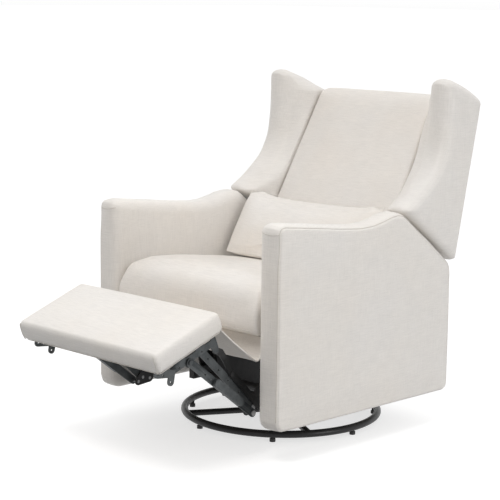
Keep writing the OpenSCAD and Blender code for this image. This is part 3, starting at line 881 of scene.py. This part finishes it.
# ------------------------------------------------------------------ seams
# By default a seam uses the 'welt' finish, a darker fabric that paints the shade of the seam groove
def seam(name, pts, f, body, welt=1.5, sink=0.4, step=4.0, mat="welt"):
    """A welt along pts, settled on the surface f."""
    P = smooth_path(resample(np.array(pts, float), step), 2)
    P = project(P, f, 4, 8)
    nr = normals_of(P, f)
    out = []
    if welt:
        t = tube(name, P + nr * (welt - sink - welt * 0.9), welt, 8)
        out.append(put(t, mat, body))
    return out


def row(name, pts, f, body, lift=0.15, **kw):
    P = smooth_path(resample(np.array(pts, float), 3.0), 2)
    P = project(P, f, 4, 10)
    nr = normals_of(P, f)
    return put(stitches(name, P + nr * lift, nr, **kw), "thread", body)


def flip(pts):
    return [(-p[0], p[1], p[2]) for p in pts]


def flipf(f):
    return lambda P: f(P * np.array([-1, 1, 1]))


def inset2(pts, t):
    """An open (y, z) line moved t to its left."""
    Q = resample(np.array([[p[0], p[1], 0] for p in pts], float), 4)
    Q = smooth_path(Q, 2)
    T = np.gradient(Q, axis=0)
    T /= np.linalg.norm(T, axis=1)[:, None]
    return [(q[0] - t * u[1], q[1] + t * u[0]) for q, u in zip(Q, T)]


arm_edge = [ARM_PTS[0]] + ARM_PTS[:7:-1][0:] if False else [(-415, 130)] + list(reversed(ARM_PTS[8:])) + [(344, 125)]
for sgn, tag in ((1, "Left"), (-1, "Right")):
    ff = arm_f if sgn > 0 else flipf(arm_f)
    mk = (lambda p: p) if sgn > 0 else flip
    e0 = mk([(384, y, z) for y, z in arm_edge])
    seam("SM_ArmWelt_" + tag, e0, ff, "carriage", 1.3)
    row("SM_ArmStitchSide_" + tag, mk([(386, y, z) for y, z in inset2(arm_edge, -8)]), ff, "carriage")
    row("SM_ArmStitchTop_" + tag, mk([(377, y, z) for y, z in inset2(arm_edge, 0)]), ff, "carriage")
    seam("SM_ArmTopFrontSeam_" + tag, mk([(x, -413, 663 - 9 * math.sin(math.pi * (x - 304) / 100)) for x in np.linspace(308, 381, 20)]), ff, "carriage", 1.1, step=3)
    gg = wing_f if sgn > 0 else flipf(wing_f)
    wf = [(p[0], p[1]) for p in _wf]
    we = [(126, 676)] + wf[2:] + [(332, 1054), (370, 1040), (430, 1012), (480, 985)]
    seam("SM_WingWelt_" + tag, mk([(379, y, z) for y, z in we]), gg, "back", 0.9, mat="upholstery")
    row("SM_WingStitch_" + tag, mk([(386, y, z) for y, z in inset2(we, -10)]), gg, "back")

# Seat cushion: seam along its front lower edge
seam("SM_SeatFrontSeam", [(x, -409, 371) for x in np.linspace(-272, 272, 60)], seat_f, "carriage", 1.5)
# Lumbar pillow: welt round the edge
pp = [(x, 151, 676 - 11 * (1 - abs(x / 294) ** 2.2)) for x in np.linspace(-275, 275, 60)]
seam("SM_PillowTopSeam", pp, pillow_f, "lumbar_pillow", 1.1, mat="seat_fabric")
for sgn, tag in ((1, "Left"), (-1, "Right")):
    seam("SM_PillowSideSeam_" + tag, [(sgn * 284, y + 28, z - 5) for y, z in [(119, 682), (93, 640), (62, 581), (30, 531), (2, 486)]], pillow_f, "lumbar_pillow", 1.1, mat="seat_fabric")
# Footrest pad: corner seams and the seam at the bottom edge
for sx in (1, -1):
    for sy, tag in ((0, "Rear"), (1, "Front")):
        yy = -2 if not sy else -245
        q = from_pad(np.full(12, sx * 289.0), np.full(12, yy - 0.0), np.linspace(-4, -54, 12))
        seam("SM_PadCorner_%s_%s" % (tag, "L" if sx > 0 else "R"), q, pad_f, "footrest", 1.1, step=2.5)
loop = [(x, 0) for x in np.linspace(-270, 270, 50)] + [(290, -8), (295, -25)] + [(295, y) for y in np.linspace(-40, -210, 16)] + [(293, -238), (280, -247)] + [(x, -247) for x in np.linspace(260, -260, 48)] + [(-290, -240), (-295, -225)] + [(-295, y) for y in np.linspace(-195, -40, 16)] + [(-292, -10)]
q = np.array([from_pad(a, b_, -53.0) for a, b_ in loop])
seam("SM_PadLowerSeam", q, pad_f, "footrest", 1.2)
# Back outside panel: piping round it
bl = []
for a, b_ in [(-296, 108), (-296, -2), (296, -2), (296, 108), (233, 116), (219, 486), (-219, 486), (-233, 116), (-296, 108)]:
    bl.append((a, 377 + math.cos(BA) * (-1) - math.sin(BA) * b_, 508 + math.sin(BA) * (-1) + math.cos(BA) * b_))
seam("SM_BackPanelPiping", bl, outer_f, "back", 2.0, sink=0.0)


# ------------------------------------------------------------------ finish on the frame's own parts
FINISH = {
    "base_ring": "black_steel", "base_cross": "black_steel", "floor_glides": "glide_plastic",
    "swivel_lower_plate": "black_steel", "swivel_spindle": "zinc_steel", "swivel_top_plate": "black_steel",
    "glide_tower": "dark_steel", "glide_pins": "zinc_steel", "front_link": "dark_steel", "rear_link": "dark_steel",
    "base_rail": "dark_steel", "cross_tube": "dark_steel", "riser": "dark_steel", "seat_rail": "dark_steel",
    "seat_front_rail": "timber", "seat_rear_rail": "timber", "seat_springs": "zinc_steel", "seat_deck": "lining",
    "arm_brackets": "dark_steel", "side_plate": "dark_steel", "back_pivot_pins": "zinc_steel",
    "control_panel": "black_plastic", "charging_port": "black_plastic", "power_box": "black_plastic",
    "actuator_housing": "black_plastic", "actuator_rod": "zinc_steel", "button": "button_plastic",
    "back_board": "timber", "back_bracket": "dark_steel", "footrest_lower_links": "dark_steel",
    "torque_tube": "dark_steel", "footrest_link_pins": "zinc_steel", "footrest_long_links": "grey_steel",
    "footrest_front_links": "grey_steel", "footrest_elbow_links": "dark_steel", "footrest_bracket": "grey_steel",
    "footrest_board": "timber", "recline_button": "button_plastic", "upright_button": "button_plastic",
}
SLOTS = {}
for _m in (frame["record"].get("materials") or frame["record"].get("material_slots") or []):
    for _n in (_m.get("nodes") or []):
        SLOTS[_n] = _m.get("name") or _m.get("slot")
for nm, ob in N.items():
    if ob.hide_render:
        continue
    s = SLOTS.get(nm)
    if s not in M:
        s = next((v for k, v in sorted(FINISH.items(), key=lambda kv: -len(kv[0])) if nm.startswith(k) or k in nm), "dark_steel")
    ob.data.materials.clear()
    ob.data.materials.append(M[s])

# ------------------------------------------------------------------ rivet builder for the linkage (nothing calls it)
def lathe_x(name, prof, x, y, z, seg=20, hexed=False):
    V_, F_ = [], []
    for px, pr in prof:
        for k in range(seg):
            a = 2 * math.pi * k / seg
            V_.append((x + px, y + pr * math.cos(a), z + pr * math.sin(a)))
    for i in range(len(prof) - 1):
        for k in range(seg):
            l = (k + 1) % seg
            F_.append((i * seg + k, i * seg + l, (i + 1) * seg + l, (i + 1) * seg + k))
    F_.append(tuple(range(seg - 1, -1, -1)))
    F_.append(tuple((len(prof) - 1) * seg + k for k in range(seg)))
    return new_obj(name, V_, F_)


RIVET = [(0, 7.4), (0.8, 7.6), (0.9, 5.6), (1.6, 5.4), (2.4, 4.4), (2.9, 2.4), (3.0, 0.3)]


def rivet(name, x, y, z, body, s=1.0, mat="zinc_steel"):
    for sg, tg in ((1, "L"), (-1, "R")):
        o = lathe_x(name + "_" + tg, [(sg * a * s, r * s) for a, r in RIVET], sg * x, y, z)
        if sg < 0:
            o.data.flip_normals()
        put(o, mat, body)


# ------------------------------------------------------------------ stage, lights, camera
def stage_floor():
    ob = new_obj("Floor", [(-90000, -90000, 0), (90000, -90000, 0), (90000, 90000, 0), (-90000, 90000, 0)], [(0, 1, 2, 3)])
    m, nt, b = mat_new("FloorMat")
    tc = nd(nt, "ShaderNodeTexCoord")
    n = noise(nt, tc.outputs["Object"], 3.0, 3.0)
    nt.links.new(mixc(nt, n, (0.50, 0.50, 0.50), (0.52, 0.52, 0.52)), b.inputs["Base Color"])
    b.inputs["Roughness"].default_value = 0.9
    b.inputs["Specular IOR Level"].default_value = 0.1
    b.inputs["Emission Color"].default_value = (1, 1, 1, 1)
    b.inputs["Emission Strength"].default_value = 0.66
    ob.data.materials.append(m)
    ob.visible_diffuse = False


stage_floor()
sc = bpy.context.scene
w = bpy.data.worlds.new("Studio")
sc.world = w
w.use_nodes = True
wt = w.node_tree
wt.nodes.clear()
wo = wt.nodes.new("ShaderNodeOutputWorld")
bg = wt.nodes.new("ShaderNodeBackground")
tcw = wt.nodes.new("ShaderNodeTexCoord")
sw = wt.nodes.new("ShaderNodeSeparateXYZ")
wt.links.new(tcw.outputs["Generated"], sw.inputs[0])
lev = mth(wt, "MULTIPLY_ADD", mth(wt, "MAXIMUM", sw.outputs[2], 0.0), 0.0, 1.02)
lev = mth(wt, "MULTIPLY_ADD", mth(wt, "MAXIMUM", sw.outputs[0], 0.0), -0.42, lev)
lev = mth(wt, "MULTIPLY_ADD", mth(wt, "MINIMUM", sw.outputs[1], 0.0), 0.80, lev)
lev = mth(wt, "MAXIMUM", lev, 0.14)
dn = mth(wt, "MULTIPLY", sw.outputs[2], -8.0, clamp=True)
lev = mth(wt, "MULTIPLY", lev, mth(wt, "MULTIPLY_ADD", dn, -0.44, 1.0))
wt.links.new(lev, bg.inputs["Strength"])
bg.inputs["Color"].default_value = (1, 1, 1, 1)
wt.links.new(bg.outputs[0], wo.inputs[0])


def area(name, loc, target, size, energy, col=(1, 1, 1)):
    L = bpy.data.lights.new(name, "AREA")
    L.shape = "DISK"
    L.size = size
    L.energy = energy
    L.color = col
    o = bpy.data.objects.new(name, L)
    sc.collection.objects.link(o)
    o.location = loc
    o.rotation_euler = (Vector(target) - Vector(loc)).to_track_quat("-Z", "Y").to_euler()
    return o


area("Key", (0.5, -2.2, 3.4), (0, 0, 0.7), 1.3, 48, (1.0, 0.98, 0.96))
area("Side", (3.2, 0.2, 0.8), (0, 0, 0.35), 1.4, 25, (1.0, 0.985, 0.97))
area("Fill", (1.2, -3.6, 0.9), (0, 0, 0.5), 1.6, 7, (1.0, 0.95, 0.9))

cam = bpy.data.cameras.new("Camera")
cam.sensor_width = 36.0
cam.lens = 114.512
cam.clip_end = 400
co = bpy.data.objects.new("Camera", cam)
sc.collection.objects.link(co)
R_, U_, F_ = (0.70377, 0.71034, 0.0112), (-0.12268, 0.10599, 0.98677), (-0.69975, 0.69584, -0.16173)
co.matrix_world = Matrix(((R_[0], U_[0], -F_[0], 3.3630), (R_[1], U_[1], -F_[1], -3.4887), (R_[2], U_[2], -F_[2], 1.3184), (0, 0, 0, 1)))
sc.camera = co
sc.view_settings.view_transform = "Standard"
sc.view_settings.look = "None"
sc.view_settings.exposure = 0.0
